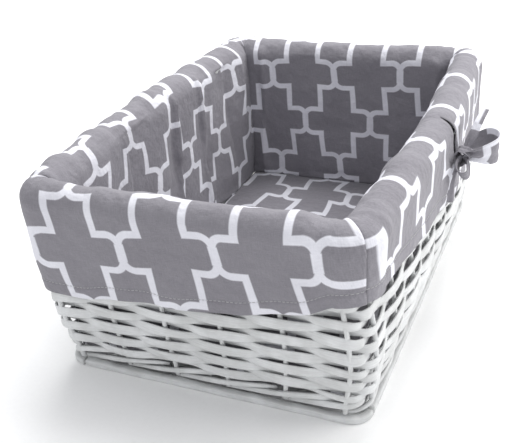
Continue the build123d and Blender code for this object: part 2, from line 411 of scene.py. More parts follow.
def printed_cotton():
    """Grey cotton, plain weave, with the white trellis print."""
    n = Nodes("printed_cotton")
    uv = n.uv()
    place = n.place()
    ragged = n.noise(uv, 1600.0, 1.0, 0.5)
    white = trellis(n, uv)
    white = n.math("MULTIPLY_ADD", n.math("SUBTRACT", ragged, 0.5), 0.25, white, clamp=True)
    slub = n.noise(uv, 1.0, 3.0, 0.6, stretch=(140, 2600, 1))
    slub_across = n.noise(uv, 1.0, 3.0, 0.6, stretch=(2600, 140, 1))
    yarn = n.math("ADD", n.math("MULTIPLY", slub, 0.5), n.math("MULTIPLY", slub_across, 0.5))
    shade = n.noise(place, 22.0, 3.0, 0.6)
    ground = n.ramp(yarn, (0.35, (0.215, 0.207, 0.230)), (0.65, (0.282, 0.272, 0.300)))
    line = n.ramp(yarn, (0.35, (0.74, 0.74, 0.80)), (0.65, (0.84, 0.84, 0.90)))
    cloth = n.mix(white, ground, line)
    cloth = n.mix(0.5, cloth, n.ramp(shade, (0.3, (0.78, 0.77, 0.78)), (0.7, (1, 1, 1))), "MULTIPLY")
    n.surface("Base Color", cloth)
    cross = n.math("MULTIPLY", n.threads(uv, "X"), n.threads(uv, "Y"))
    crumple = n.noise(place, 60.0, 4.0, 0.55)
    relief = n.bump(crumple, 0.6, 0.006)
    relief = n.bump(yarn, 0.3, 0.0003, relief)
    n.surface("Normal", n.bump(cross, 0.35, 0.00015, relief))
    n.surface("Roughness", n.math("MULTIPLY_ADD", yarn, 0.15, 0.8))
    n.surface("Specular IOR Level", 0.25)
    n.surface("Sheen Weight", 0.15)
    n.surface("Sheen Roughness", 0.5)
    return n.material


def sewing_thread():
    """Pale grey twisted thread."""
    n = Nodes("sewing_thread")
    place = n.place()
    twist = n.noise(place, 2500.0, 1.0, 0.5)
    n.surface("Base Color", n.ramp(twist, (0.3, (0.42, 0.42, 0.43)), (0.7, (0.56, 0.56, 0.57))))
    n.surface("Normal", n.bump(twist, 0.4, 0.0002))
    n.surface("Roughness", 0.7)
    return n.material


def pale_floor():
    """Near-white matt floor with a trace of grain."""
    n = Nodes("pale_floor")
    place = n.place()
    grain = n.noise(place, 300.0, 2.0, 0.5)
    n.surface("Base Color", n.ramp(grain, (0.3, (0.96, 0.96, 0.96)), (0.7, (0.98, 0.98, 0.98))))
    n.surface("Roughness", 0.9)
    return n.material


WILLOW = painted_willow()
COTTON = printed_cotton()
THREAD = sewing_thread()

# ---------------------------------------------------------------- the stake line


def stake_line(bay, z):
    """Point on the stake line and the outward normal; bay counts stakes from front left."""
    rise = (z - STAKE_LOW) / (RIM_Z - STAKE_LOW)
    low, full, fall, end = BELLY_Z
    belly = BELLY * float(smooth(z, low, full) * (1 - smooth(z, fall, end)))
    half_x = FOOT_X + (RIM_X - FOOT_X) * rise + belly
    half_y = FOOT_Y + (RIM_Y - FOOT_Y) * rise + belly
    bay = bay % BAYS
    for yaw, first, straight, is_long in reversed(WALLS):
        if bay >= first:
            break
    local = bay - first
    along, away = (half_y, half_x) if is_long else (half_x, half_y)
    reach = along - CORNER
    if local <= straight:
        share = 2 * local / straight - 1
        out = float(bowed(share, z)) if is_long else 0.0
        point, normal = (reach * share, -away - out, z), (0, -1, 0)
    else:
        a = (local - straight) * math.pi / 2
        point = (reach + CORNER * math.sin(a), -(away - CORNER) - CORNER * math.cos(a), z)
        normal = (math.sin(a), -math.cos(a), 0)
    point, normal = turned([point, normal], yaw)
    return leaned(point), normal


def strip_rings(bays, offsets, lows, heights, thickness, lean):
    """Rings of a half-round strip whose flat side faces in; lean tips its top edge out."""
    face_up = np.array([-1, -0.94, -0.78, -0.4, 0, 0.4, 0.78, 0.94, 1])
    face_out = np.array([0.15, 0.55, 0.82, 0.97, 1, 0.97, 0.82, 0.55, 0.15])
    back_up = np.array([0.85, 0.3, -0.3, -0.85])
    rings = []
    for i, bay in enumerate(bays):
        half = heights[i] / 2
        z = lows[i] + half
        point, normal = stake_line(bay, z)
        t = thickness[i]
        out = np.concatenate([face_out * t * 0.55, np.full(4, -t * 0.45)])
        up = np.concatenate([face_up * half, back_up * half])
        out = out + up * lean[i]
        ring = point + normal * (offsets[i] + out)[:, None]
        ring[:, 2] = z + up
        rings.append(ring)
    return rings


# ---------------------------------------------------------------- weave


GAP_LIFT = 3.0 * MM        # the second course is pushed up this far by the lowest one
SEAM_WANDER = 0.9 * MM
STRIP_THICK = 1.8 * MM
STRIP_CLEAR = 0.9 * MM     # from the face of a stake to the middle of the strip passing it
SWELL_OUTSIDE = 0.8 * MM   # a strip covers its neighbours by this much where it passes outside
SWELL_INSIDE = 0.6 * MM
SPLICE_STEP = 1.3 * MM     # where a strip overlaps itself its first end lies in, its last out


def boundary(index, bays):
    """Height of the seam between two courses, which wanders a little."""
    wander = wobble(bays, BAYS, (2, 3, 5, 8, 11, 14, 23), seed=100 + index)
    lift = GAP_LIFT * math.exp(-0.6 * (index - 1))
    return COURSE_LOW + index * COURSE_PITCH + lift + SEAM_WANDER * wander


def weave_course(index, name):
    """One course: an open strip that overlaps itself by one bay, behind a stake."""
    rng = random.Random(500 + index)
    splice = rng.uniform(16, 27)
    bays = np.arange(splice - 0.75, splice + BAYS + 0.78, 1 / STEPS_PER_BAY)
    swing = np.cos(np.pi * (bays + index))
    reach = (STAKE + STRIP_CLEAR) * swollen(swing, 0.75)
    reach = reach + 0.3 * MM * wobble(bays, BAYS, (7, 13, 19), seed=index)
    begin = 1 - smooth(bays, bays[0], bays[0] + 1.6)
    end = smooth(bays, bays[-1] - 1.6, bays[-1])
    reach = reach + SPLICE_STEP * (end - begin)
    lows, highs = boundary(index, bays), boundary(index + 1, bays)
    swell = SWELL_OUTSIDE * np.clip(swing, 0, 1) + SWELL_INSIDE * np.clip(-swing, 0, 1)
    squeeze = 0.22 * (begin + end) * (highs - lows)
    lows = lows - swell + squeeze * 0.4 - 0.1 * MM
    heights = highs + swell - squeeze * 0.6 + 0.1 * MM - lows
    heights = heights * (1 + 0.10 * wobble(bays, BAYS, (9, 16, 22), seed=160 + index))
    thickness = STRIP_THICK * (1 + 0.12 * wobble(bays, BAYS, (3, 7, 12), seed=40 + index))
    thickness = thickness * (1 - 0.45 * smooth(begin + end, 0.5, 1.0))
    lean = 0.13 * wobble(bays, BAYS, (5, 9, 15), seed=70 + index)
    rings = strip_rings(bays, reach, lows, heights, thickness, lean)
    single_strip(name, rings, shift=grain_start(rng))


WALE_LOW = 5.2 * MM
WALE_HEIGHT = 4.3 * MM
WALE_THICK = 2.6 * MM
WALE_RISE = 9.3 * MM
WALE_LENGTH = 1.85         # in bays, past its stake


def bottom_wale(name):
    """Lowest course: one thin strand from each stake, rising in front of the next one."""
    builder = Builder()
    rng = random.Random(7)
    for stake in range(BAYS):
        bays = np.arange(stake - 0.1, stake + WALE_LENGTH, 1 / STEPS_PER_BAY)
        along = bays - stake
        reach = (STAKE + STRIP_CLEAR) * -np.cos(np.pi * along * 0.98)
        rise = WALE_RISE * rng.uniform(0.85, 1.12)
        lows = WALE_LOW + rise * smooth(along, -0.1, 1.35) * 1.1
        lows = lows + 0.9 * MM * np.clip(along - 1, 0, 2)
        heights = WALE_HEIGHT * rng.uniform(0.85, 1.15) * (1 + 0.1 * np.sin(3 * bays))
        ends = smooth(along, -0.1, 0.05) * (1 - smooth(along, 1.6, WALE_LENGTH))
        thickness = WALE_THICK * (0.5 + 0.5 * ends)
        heights = heights * (0.7 + 0.3 * ends)
        rings = strip_rings(bays, reach, lows, heights, thickness, np.zeros(len(bays)))
        builder.loft(rings, shift=grain_start(rng))
    builder.make_willow(name)


CORNER_STAKE_OUT = 1.9 * MM    # the stakes beside a corner stand out this far


def stake_group(name, wall):
    """The upright rods of one wall, slightly uneven."""
    yaw, first, straight, _ = WALLS[wall]
    builder = Builder()
    rng = random.Random(900 + wall)
    angles = evenly_round(10)
    heights = np.linspace(STAKE_LOW, STAKE_HIGH, 16)
    for stake in range(straight + 1):
        bend = wobble(heights, 0.2, (1, 2, 3), seed=1000 + 20 * wall + stake) * 0.35 * MM
        girth = rng.uniform(0.93, 1.06)
        proud = CORNER_STAKE_OUT if stake in (0, straight) else 0
        rings = []
        for z, shift in zip(heights, bend):
            point, normal = stake_line(first + stake, z)
            side = np.cross([0, 0, 1], normal)
            radius = STAKE * girth * (1 - 0.5 * (z - STAKE_LOW))
            ring = point + np.outer(proud + radius * np.cos(angles), normal)
            rings.append(ring + radius * np.outer(np.sin(angles), side) + side * shift)
        builder.loft(rings, shift=grain_start(rng))
    builder.make_willow(name)


# ---------------------------------------------------------------- foot, base and rim


FOOT_HALF = 3.3 * MM       # half the width the foot rod shows
FOOT_OUT = 0.9 * MM        # its middle lies this far outside the stakes


def foot_rod(name, wall):
    """Flattened rod along the foot of one wall and round the corner after it."""
    _, first, straight, _ = WALLS[wall]
    bays = np.arange(first + 0.03, first + straight + 1 - 0.02, 1 / 12)
    angles = evenly_round(28)
    out = swollen(np.cos(angles), 0.6)
    up = swollen(np.sin(angles), 0.6)
    rings = []
    for bay in bays:
        point, normal = stake_line(bay, STAKE_LOW)
        half_width = FOOT_HALF * (1 + 0.07 * wobble(bay, BAYS, (4, 9, 17, 33, 71), seed=3))
        half_height = 0.86 * FOOT_HALF * (1 + 0.10 * wobble(bay, BAYS, (5, 11, 19, 37, 83), seed=4))
        split = 0.1 + 0.25 * wobble(bay, BAYS, (6, 13), seed=6)
        groove = 1 - 0.2 * bell(up, split, 0.16) * (out > 0)
        ring = point + np.outer(FOOT_OUT + half_width * out * groove, normal)
        ring[:, 2] = half_height * (1 + up)
        rings.append(ring)
    single_strip(name, rings, shift=(first, 0))


def base_stick(name):
    """Round stick along the base."""
    low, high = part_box(name)
    centre = (low + high) / 2
    radius = (high.z - low.z) / 2
    angles = evenly_round(12)
    rings = []
    for y in np.linspace(low.y, high.y, 40):
        r = radius * (0.95 + 0.04 * math.sin(90 * y + centre.x * 300))
        x = centre.x + 0.4 * MM * math.sin(25 * y + centre.x * 90)
        rings.append([(x + r * math.cos(a), y, centre.z + r * math.sin(a)) for a in angles])
    single_strip(name, rings, shift=(centre.x * 10, 0))


BASE_STRIP = 10 * MM
BASE_PITCH = 10.6 * MM
BASE_WAVE = 3.2 * MM       # a strip's middle passes this far over and under the sticks


def base_weave(name):
    """Half-willow strips across the base, over one stick and under the next."""
    low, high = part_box(name)
    stick_x = [middle(stick).x for stick in STICKS]
    pitch = stick_x[1] - stick_x[0]
    level = middle(STICKS[0]).z
    count = round((high.y - low.y - BASE_STRIP) / BASE_PITCH) + 1
    across = np.linspace(-1, 1, 9)
    builder = Builder()
    for i in range(count):
        rng = random.Random(2000 + i)
        y = low.y + BASE_STRIP / 2 + i * (high.y - low.y - BASE_STRIP) / (count - 1)
        xs = np.linspace(low.x, high.x, 70)
        fade = 1 - smooth(np.abs(xs), high.x - 22 * MM, high.x)
        wave = BASE_WAVE * (-1) ** i * np.cos(np.pi * (xs - stick_x[0]) / pitch) * fade
        rings = []
        for x, dz in zip(xs, wave):
            half = BASE_STRIP / 2 * (0.95 + 0.04 * math.sin(50 * x + i))
            skew = 0.4 * MM * math.sin(23 * x + 2 * i)
            top = [(x, y + skew + half * a, level + dz + 1.1 * MM * (1 - 0.6 * a * a)) for a in across]
            under = [(x, y + skew + half * a, level + dz - 1.0 * MM) for a in across[::-2] * 0.9]
            rings.append(top + under)
        builder.loft(rings, shift=grain_start(rng))
    builder.make_willow(name)


def rim_hoop(name, offset):
    """Round rod bent round the rim."""
    z = middle(name).z
    bays = np.arange(0, BAYS, 1 / 10)
    angles = evenly_round(12)
    seed = int(offset * 1e5) + 50
    rings = []
    for bay in bays:
        point, normal = stake_line(bay, RIM_Z)
        radius = ROD / 2 * (0.95 + 0.04 * wobble(bay, BAYS, (5, 12, 21), seed=seed))
        ring = point + np.outer(offset + radius * np.cos(angles), normal)
        ring[:, 2] = z + radius * np.sin(angles)
        rings.append(ring)
    single_strip(name, rings, closed=True)


LASH_HALF = 3.3 * MM
LASH_GAP = 0.10 * MM
LASH_OUT = 0.85 * MM       # its outer face, from the rods


def rim_lashing(name):
    """Strip bound round the three rim rods in each straight bay, pulled slightly aslant."""
    centres = np.array([(ROD_OUT, RIM_Z), (0, TOP_ROD_Z), (-ROD_OUT, RIM_Z)])
    angles = evenly_round(48)
    facing = np.stack([np.cos(angles), np.sin(angles)], axis=1)
    held = centres[np.argmax(facing @ centres.T, axis=1)]
    inner = held + facing * (ROD / 2 + LASH_GAP)
    outer = held + facing * (ROD / 2 + LASH_OUT)
    builder = Builder()
    for _, first, straight, _ in WALLS:
        for bay in range(first, first + straight):
            rng = random.Random(3000 + bay)
            point, normal = stake_line(bay + 0.5, RIM_Z)
            side = np.cross([0, 0, 1], normal)
            half = LASH_HALF * rng.uniform(0.85, 1.05)
            slant = rng.uniform(0.05, 0.22)
            rings = []
            for k in range(len(angles)):
                ring = []
                for (u, z), w in ((inner[k], -half), (inner[k], half), (outer[k], half * 0.9),
                                  (outer[k], -half * 0.9)):
                    spot = point + normal * u + side * (w + slant * (u + z - RIM_Z))
                    ring.append((spot[0], spot[1], z))
                rings.append(ring)
            builder.loft(rings, closed=True, shift=(rng.uniform(0, 5), 0))
    builder.make_willow(name)


for course, course_name in enumerate(COURSES):
    if course == 0:
        bottom_wale(course_name)
    else:
        weave_course(course, course_name)
for wall, wall_name in enumerate(("front", "right", "back", "left")):
    stake_group(f"stakes_{wall_name}", wall)
    foot_rod(f"foot_rod_{wall_name}", wall)
for stick in STICKS:
    base_stick(stick)
base_weave("base_weave")
rim_hoop("rim_rod_outer", ROD_OUT)
rim_hoop("rim_rod_inner", -ROD_OUT)
rim_hoop("rim_rod_top", 0.0)
rim_lashing("rim_lashing")

# ---------------------------------------------------------------- liner

CLOTH = 0.7 * MM           # thickness of the liner's cloth
ROLL_HALF = 13.9 * MM      # half the width of the cloth roll over the rim
SHOULDER_Z = 147.5 * MM    # where the cuff and the inside wall turn over the rim
TUCK = 5.4 * MM            # how far the cuff falls back towards the weave, at TUCK_Z
TUCK_Z = 72 * MM
STITCH_UP = 10 * MM        # hem stitches above the hem
WALL_LOW = LINER_LOW + 0.6 * MM

# wall: (yaw, half length along the wall, distance to the wall)
PANELS = {
    "front": (0, RIM_X, RIM_Y),
    "right": (90, RIM_Y, RIM_X),
    "back": (180, RIM_X, RIM_Y),
    "left": (270, RIM_Y, RIM_X),
}
LONG_WALLS = ("right", "left")
# height of the hem along each wall, in mm: (place from the middle, height)
HEMS = {
    "front": ((-120, 74), (-84, 76), (-52, 79), (-19, 81.5), (17, 84), (47, 88), (71, 92), (98, 101),
              (120, 113)),
    "right": ((-183, 113), (-155, 110), (-123, 107), (-90, 104), (-44, 98), (0, 92), (45, 86),
              (100, 79), (183, 75)),
    "back": ((-120, 73), (0, 76), (120, 72)),
    "left": ((-183, 72), (-60, 75), (0, 78), (60, 76), (183, 74)),
}
# the print on each wall: side it is measured on, place of one bar's middle along the wall and
# its height, both in mm, the slope of its row, and the cloth per length and per height of wall
PRINTS = {
    "front": ("outside", 31, 132, 0.115, 0.98, 1.0),
    "right": ("outside", -46, 168, 0.0, 0.97, 1.0),
    "back": ("inside", 9, 133, -0.03, 1.03, 1.10),
    "left": ("inside", 57, 148, 0.08, 1.12, 1.05),
}
# how far the print is pulled out of true by the cloth's creases, in mm
PULL = {"front": 0.9, "right": 1.6, "back": 0.9, "left": 3.2}
# height of the lumps along each crest, and of the slow waves of the cloth inside, in mm
CREST_LUMPS = {"front": 0.8, "right": 0.8, "back": 0.8, "left": 1.6}
INNER_SWAY = {"front": 1.3, "right": 1.3, "back": 1.3, "left": 2.2}
# how far the roll stands out past the rim along each wall, in mm
ROLL_OUT = {
    "front": ((-120, -2), (-60, 0), (60, 0), (120, 3)),
    "right": ((-183, 3), (-100, 0), (-20, 1), (20, 3), (80, 1), (183, 1)),
    "back": ((-120, 1), (0, 0), (120, 5)),
    "left": ((-183, 4), (-120, 5), (-60, 4), (20, 1), (100, -1), (183, -3)),
}
# how far the cloth is puffed out at the two ends of each wall, in mm
CORNER_PUFF = {"front": (0, 3), "right": (3, 3), "back": (3, 4), "left": (4, 0)}
# places along each wall where the cloth inside is creased back against the wicker, in mm, and
# how far it billows in between them
BILLOWS = {
    "front": ((-120, -40, 62, 120), 3.0),
    "right": ((-183, -96, -8, 70, 183), 3.5),
    "back": ((-120, -30, 92, 120), 4.5),
    "left": ((-183, -126, -67, -12, 60, 183), 6.0),
}
# creases inside: place along the wall, depth, width, and the heights they run between, in mm
CREASES = {
    "front": (),
    "right": ((-60, 1.8, 5, 20, 150), (70, 1.5, 6, 20, 150)),
    "back": ((92, 4.5, 5, 15, 156), (-95, 4.0, 6, 60, 155), (40, 1.5, 5, 12, 60)),
    "left": ((-14, 6.5, 2.5, 14, 160), (-66, 5.0, 3, 14, 158), (-150, 2.5, 6, 60, 158),
             (70, 2.0, 7, 20, 150)),
}


def roll(first, last):
    """Dense (u, z) line over the rim between two angles in degrees, 0 outside to 180 inside."""
    a = np.radians(np.linspace(first, last, 40))
    top = CREST_Z - 0.4 * MM - SHOULDER_Z
    return np.stack([ROLL_HALF * np.cos(a), SHOULDER_Z + top * np.sin(a)], axis=1)


def outer_profile(hem_z):
    """Dense (u, z) line up the cuff from the hem to the crest."""
    zs = np.linspace(hem_z, SHOULDER_Z, 60)
    drop = np.clip((SHOULDER_Z - zs) / (SHOULDER_Z - TUCK_Z), 0, 2)
    line = np.stack([ROLL_HALF - TUCK * drop**1.3, zs], axis=1)
    return np.concatenate([line, roll(0, 90)[1:]])


def inner_profile():
    """Dense (u, z) line from the crest down the inside to the floor."""
    zs = np.linspace(SHOULDER_Z, WALL_LOW, 80)[1:]
    belly = 2.6 * MM * np.sin(np.pi * (SHOULDER_Z - zs) / (SHOULDER_Z - WALL_LOW))
    return np.concatenate([roll(90, 180), np.stack([-ROLL_HALF + belly, zs], axis=1)])


def lengths(line):
    """Length along a polyline up to each of its points."""
    return np.concatenate([[0], np.cumsum(np.linalg.norm(np.diff(line, axis=0), axis=1))])


def read_off(wanted, at, rows):
    """Rows known at the lengths at, read off at the wanted lengths."""
    return np.stack([np.interp(wanted, at, column) for column in rows.T], axis=-1)


def along_line(line, distances):
    """Points at distances along a polyline."""
    return read_off(distances, lengths(line), line)


# rows of the cloth grid: lengths above the hem, the row of the stitches, and how many more rows
# there are up to the crest and down the inside
HEM_ROWS = np.array([0, 0.7, 1.6, 3.2, 5, 7, 8.6, 9.4, 10, 10.6, 11.4, 13, 15]) * MM
STITCH_ROW = 8
UPPER_ROWS = 46
INNER_ROWS = 80
COLUMN_STEP = 2.2 * MM     # from column to column along the wall


class Panel:
    """One wall of the liner as a grid: columns along the wall, rows from the hem to the floor.

    s is the place along the wall, u the offset outward from the rim's line, z the height and
    up the length of cloth from the hem."""

    def __init__(self, name):
        self.name = name
        self.yaw, self.half, self.away = PANELS[name]
        straight = self.half - CORNER
        corner = np.linspace(0, math.pi / 4, 13)[1:] * CORNER
        count = int(2 * straight / COLUMN_STEP) // 2 * 2 + 1
        self.s = np.concatenate(
            [-(straight + corner[::-1]), np.linspace(-straight, straight, count),
             straight + corner]
        )
        self.straight = straight
        self.hem_z = smooth_through(HEMS[name], self.s / MM, 14) * MM
        self.hem_z += 0.9 * MM * wobble(self.s, 0.4, (3, 5, 9), seed=len(name))
        self.rows()

    def rows(self):
        """Fills in u, z, up and the cloth's normal for every grid point."""
        inner = inner_profile()
        inner_at = np.linspace(0, lengths(inner)[-1], INNER_ROWS + 1)[1:]
        inner_points = along_line(inner, inner_at)
        u, z, up = [], [], []
        for hem in self.hem_z:
            outer = outer_profile(hem)
            total = lengths(outer)[-1]
            upper = np.linspace(HEM_ROWS[-1], total, UPPER_ROWS + 1)[1:]
            at = np.concatenate([HEM_ROWS, upper])
            points = along_line(outer, at)
            u.append(np.concatenate([points[:, 0], inner_points[:, 0]]))
            z.append(np.concatenate([points[:, 1], inner_points[:, 1]]))
            up.append(np.concatenate([at, total + inner_at]))
        self.u, self.z, self.up = (np.array(x).T for x in (u, z, up))
        self.crest_row = len(HEM_ROWS) + UPPER_ROWS - 1
        step_u, step_z = np.gradient(self.u, axis=0), np.gradient(self.z, axis=0)
        size = np.hypot(step_u, step_z)
        self.normal_u, self.normal_z = step_z / size, -step_u / size

    def place(self, s, u, z):
        """World points for places along the wall, offsets outward and heights."""
        turn = np.clip((np.abs(s) - self.straight) / CORNER, 0, None)
        along = np.clip(s, -self.straight, self.straight)
        side = np.sign(s)
        in_corner = turn > 0
        low_puff, high_puff = CORNER_PUFF[self.name]
        puff = np.where(s < 0, low_puff, high_puff) * MM * smooth(turn, -0.3, math.pi / 4)
        puff = puff * smooth(u, 0, ROLL_HALF) * smooth(z, 50 * MM, 115 * MM)
        radius = np.maximum(CORNER + u + puff, 1.0 * MM)
        x = np.where(in_corner, along + side * radius * np.sin(turn), s)
        y = np.where(in_corner, -(self.away - CORNER) - radius * np.cos(turn), -(self.away + u))
        if self.name in LONG_WALLS:
            y = y - bowed(along / self.straight, z)
        points = np.stack([x, y, z], axis=-1)
        points = turned(points.reshape(-1, 3), self.yaw).reshape(points.shape)
        outside = smooth(u, 0, ROLL_HALF / 2)[..., None]
        return points + outside * (leaned(points) - points)

    def billow(self):
        """How far the cloth inside stands in from the wicker between its creases."""
        places, size = BILLOWS[self.name]
        places = np.array(places) * MM
        s = np.clip(self.s[None, :] + 3 * MM * np.sin(self.z / (24 * MM)), places[0], places[-1])
        index = np.clip(np.searchsorted(places, s) - 1, 0, len(places) - 2)
        share = (s - places[index]) / (places[index + 1] - places[index])
        arch = (4 * share * (1 - share)) ** 0.6
        drop = np.clip((SHOULDER_Z + 8 * MM - self.z) / (SHOULDER_Z - WALL_LOW), 0, 1)
        return size * MM * arch * np.sin(np.pi * drop) ** 0.7 * (1 - smooth(self.u, -13 * MM, 0))

    def folds(self):
        """Displacement of the cloth along its normal: drape, gathers, creases and stitching."""
        s = np.broadcast_to(self.s, self.u.shape)
        seed = 1 + list(PANELS).index(self.name)
        outside = smooth(self.u, 0, ROLL_HALF)
        on_roll = bell(self.z, CREST_Z, 14 * MM)
        depth = smooth(SHOULDER_Z - self.z, 0, 80 * MM)
        end = self.half - np.abs(s)
        inland = smooth(end, 0, 14 * MM)
        total = 1.3 * MM * wobble(s, 0.5, (4, 7, 11, 15), seed=seed) * outside * depth * inland
        sway = wobble(s + 0.3 * self.z, 0.5, (3, 6, 10), seed=10 + seed)
        total += INNER_SWAY[self.name] * MM * sway * (1 - outside) * inland
        lumps = wobble(s - 0.5 * self.u, 0.5, (6, 11, 17), seed=20 + seed)
        lumps = np.maximum(CREST_LUMPS[self.name] * lumps, -0.5)
        total += MM * lumps * on_roll * inland
        pleat = np.sin(s / (2.0 * MM) + 5 * np.sin(self.z / (22 * MM)))
        total += 0.9 * MM * pleat * bell(end, 4 * MM, 20 * MM) * on_roll
        for place, size, width, low, high in np.array(CREASES[self.name]) * MM:
            shift = place + 2.5 * MM * np.sin(self.z / (26 * MM))
            sharp = np.exp(-np.abs(s - shift) / width)
            reach = smooth(self.z, low - 8 * MM, low + 8 * MM)
            reach = reach * (1 - smooth(self.z, high - 5 * MM, high + 5 * MM))
            total += size * sharp * reach * (1 - outside)
        stitch = self.up - STITCH_UP
        total -= 0.45 * MM * bell(stitch, 0, 0.9 * MM)
        total += 0.35 * MM * (1 - smooth(self.up, 8 * MM, 11 * MM))
        return total

    def wrinkles(self, points):
        """Small irregular wrinkles, from position."""
        flat = points.reshape(-1, 3)
        out = np.empty(len(flat))
        for i, p in enumerate(flat):
            p = Vector(p)
            broad = noise.noise(p * 24 + Vector((3.1, 7.7, 1.3)))
            crease = 1 - 4 * abs(noise.noise(p * 17 + Vector((1.2, 5.5, 8.4))))
            fine = noise.noise(p * 70 + Vector((9.2, 0.4, 5.5)))
            out[i] = 1.3 * MM * broad + 0.5 * MM * max(crease, -0.5) + 0.35 * MM * fine
        return out.reshape(points.shape[:2])

    def surface(self):
        """Place along the wall, offset outward and height of every grid point."""
        stand = smooth_through(ROLL_OUT[self.name], self.s / MM, 20) * MM
        share = np.where(
            self.z > SHOULDER_Z, (self.u / ROLL_HALF + 1) / 2,
            np.where(self.u > 0, 0.35 + 0.65 * smooth(self.z, TUCK_Z, SHOULDER_Z), 0),
        )
        shift = self.folds() + self.wrinkles(self.place(np.broadcast_to(self.s, self.u.shape),
                                                        self.u, self.z))
        shift = np.maximum(shift, np.where(self.z > SHOULDER_Z + 4 * MM, -0.3 * MM, -4 * MM))
        u = self.u + stand * share + shift * self.normal_u - self.billow()
        z = self.z + shift * self.normal_z
        return np.broadcast_to(self.s, self.u.shape).copy(), u, z

    def uv(self):
        """Place on the cloth in metres, from the middle of one bar of the print."""
        side, start, level, slope, full_along, full_up = PRINTS[self.name]
        s = self.s[None, :] - start * MM
        row_z = level * MM + slope * s
        if side == "outside":
            up = self.up - (row_z - self.hem_z)
            along = s + slope * up
        else:
            up = self.up - self.up[self.crest_row] - 22 * MM - (SHOULDER_Z - row_z)
            along = s - slope * up
        pull = PULL[self.name] * MM
        pulled_along = along * full_along + pull * np.sin(up / (15 * MM) + s / (38 * MM))
        pulled_up = up * full_up + pull * np.sin(s / (19 * MM) + up / (60 * MM))
        return np.stack([pulled_along, pulled_up], axis=-1)


def grid_piece(name, points, uvs, gaps, nodes):
    """Mesh of a grid of points, without the faces whose column and row are in gaps."""
    rows, columns = points.shape[:2]
    mesh = bpy.data.meshes.new(name)
    faces = [
        (r * columns + c, (r + 1) * columns + c, (r + 1) * columns + c + 1, r * columns + c + 1)
        for r in range(rows - 1)
        for c in range(columns - 1)
        if not (c in gaps and r < gaps[c])
    ]
    mesh.from_pydata([tuple(p) for p in points.reshape(-1, 3)], [], faces)
    finish_mesh(mesh, uvs.reshape(-1, 2)[np.ravel(faces)], COTTON)
    piece = add_piece(mesh, "liner", nodes)
    thick = piece.modifiers.new("cloth_thickness", "SOLIDIFY")
    thick.thickness = CLOTH
    thick.offset = 0
    return piece


STITCH = 2.3 * MM
STITCH_PITCH = 3.2 * MM
THREAD_RADIUS = 0.26 * MM


def stitch_line(builder, line, outward):
    """Short stitches laid along a line of points."""
    at = lengths(line)
    for start in np.arange(0, at[-1] - STITCH, STITCH_PITCH):
        rings = []
        for share in (0.0, 0.15, 0.5, 0.85, 1.0):
            d = start + STITCH * share
            centre = read_off(d, at, line)
            out = read_off(d, at, outward)
            across = np.cross(read_off(d + 0.5 * MM, at, line) - centre, out)
            across /= np.linalg.norm(across) + 1e-12
            rise = 0.42 * MM + 0.22 * MM * math.sin(math.pi * share)
            radius = THREAD_RADIUS * (0.55 + 0.45 * math.sin(math.pi * share))
            ring = [
                centre + out * (rise + radius * math.cos(a)) + across * radius * math.sin(a)
                for a in evenly_round(6)
            ]
            rings.append(ring)
        builder.loft(rings)


SLIT_SHORT = 4 * MM        # the slit ends this far short of the crest
EYE_HALF = 4.6 * MM
SLIT_HALF = 5.0 * MM       # half the opening at the hem


def open_slit(panel, s, u, z, uvs):
    """Splits the cuff at the middle: an eye above the knot, drawn in at it, open below."""
    middle_column = len(panel.s) // 2
    crest_up = panel.up[panel.crest_row, middle_column]
    slit_up = crest_up - SLIT_SHORT
    slit_rows = int(np.sum(panel.up[:, middle_column] < slit_up))

    def doubled(grid):
        """The grid with its middle column twice, once for each side of the slit."""
        return np.concatenate([grid[:, : middle_column + 1], grid[:, middle_column:]], axis=1)

    s, u, z, uvs = doubled(s), doubled(u), doubled(z), doubled(uvs)
    up = doubled(panel.up)
    side = np.where(np.arange(s.shape[1]) <= middle_column, -1.0, 1.0)[None, :]
    knot_up = (KNOT.z - panel.hem_z[middle_column]) * 1.01
    above = np.clip((up - knot_up) / (slit_up - knot_up), 0, 1)
    below = np.clip((knot_up - up) / knot_up, 0, 1)
    opening = EYE_HALF * np.sin(np.pi * above**0.55) + SLIT_HALF * below**1.1 + 0.8 * MM
    opening = np.where(up < slit_up, opening, 0)
    s = s + side * opening * np.exp(-np.abs(s) / (26 * MM))
    reach = np.hypot(s, up - knot_up)
    angle = np.arctan2(up - knot_up, np.abs(s))
    outside = smooth(up, 0, 5 * MM) * (1 - smooth(up, crest_up - 10 * MM, crest_up))
    drawn = 3.2 * MM * np.exp(-reach / (16 * MM)) * outside
    rays = 1.5 * MM * np.cos(7 * angle + 0.8 * side) * np.exp(-reach / (24 * MM))
    rays = rays * smooth(reach, 2 * MM, 12 * MM) * outside
    edge = 0.9 * MM * bell(np.abs(s), 3 * MM, 3 * MM) * outside
    u = u + drawn + rays + edge
    return s, u, z, uvs, {middle_column: slit_rows}


def liner_panel(name):
    """One wall of the liner, the line of its hem stitches and the way they face."""
    panel = Panel(name)
    s, u, z = panel.surface()
    uvs = panel.uv()
    gaps = {}
    if name in LONG_WALLS:
        s, u, z, uvs, gaps = open_slit(panel, s, u, z, uvs)
    points = panel.place(s, u, z)
    for column, rows in gaps.items():
        seam = (points[rows:, column] + points[rows:, column + 1]) / 2
        points[rows:, column] = seam
        points[rows:, column + 1] = seam
    piece = grid_piece(f"liner_{name}_cloth", points, uvs, gaps, [f"liner_panel_{name}"])
    out = np.gradient(points, axis=0)[STITCH_ROW]
    along = np.gradient(points[STITCH_ROW], axis=0)
    outward = np.cross(along, out)
    outward /= np.linalg.norm(outward, axis=1)[:, None] + 1e-12
    return piece, points[STITCH_ROW], outward


stitches = Builder()
for side_name in PANELS:
    piece, stitch_points, stitch_out = liner_panel(side_name)
    edit(piece.data, weld)
    stitch_line(stitches, stitch_points, stitch_out)
hem_stitches = stitches.make("hem_stitches", THREAD, "liner")


